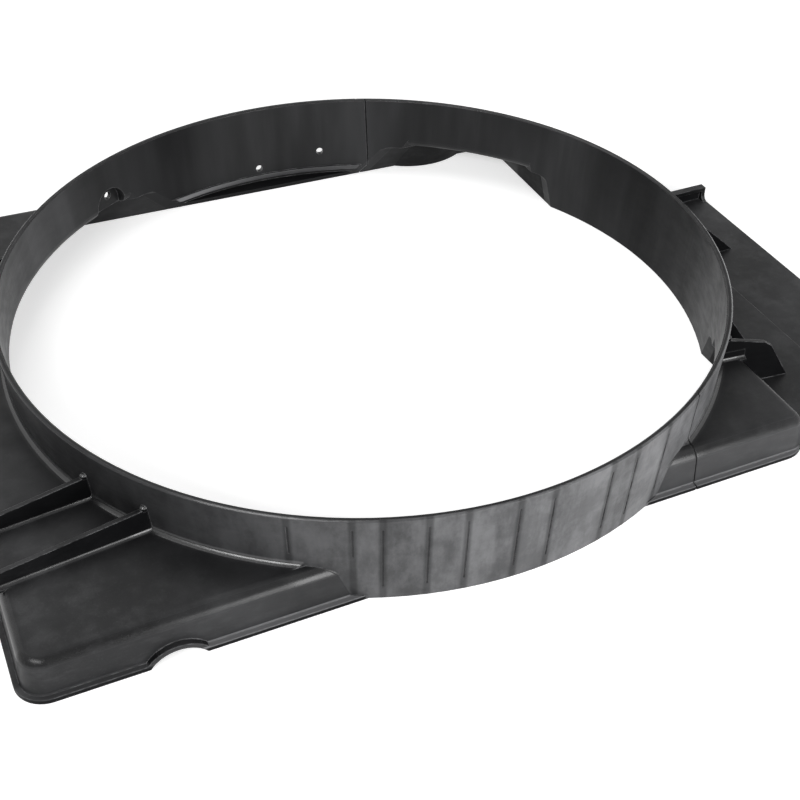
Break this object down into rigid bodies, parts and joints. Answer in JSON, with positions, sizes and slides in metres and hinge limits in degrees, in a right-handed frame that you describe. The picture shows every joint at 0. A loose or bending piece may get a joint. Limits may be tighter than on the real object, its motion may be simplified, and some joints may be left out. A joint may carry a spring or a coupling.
{
  "type": "radiator fan shroud",
  "caption": "Shallow moulded radiator fan shroud with a tall round fan ring, a hollow stepped base, braced ribs and a flat side wing, made in two lapped sections.",
  "frame": {"origin": "the fan axis where it meets the face that rests on the radiator", "axes": "+Z from the radiator's face along the fan axis to the ring's free rim, +X to the right over the side wing, +Y to the far side, away from the smooth front of the ring"},
  "size_m": [0.658, 0.4898, 0.0655],
  "materials": {
    "black_plastic": "satin"
  },
  "bodies": {
    "root": {"main_shroud": "black_plastic", "right_section": "black_plastic"}
  },
  "joints": []
}
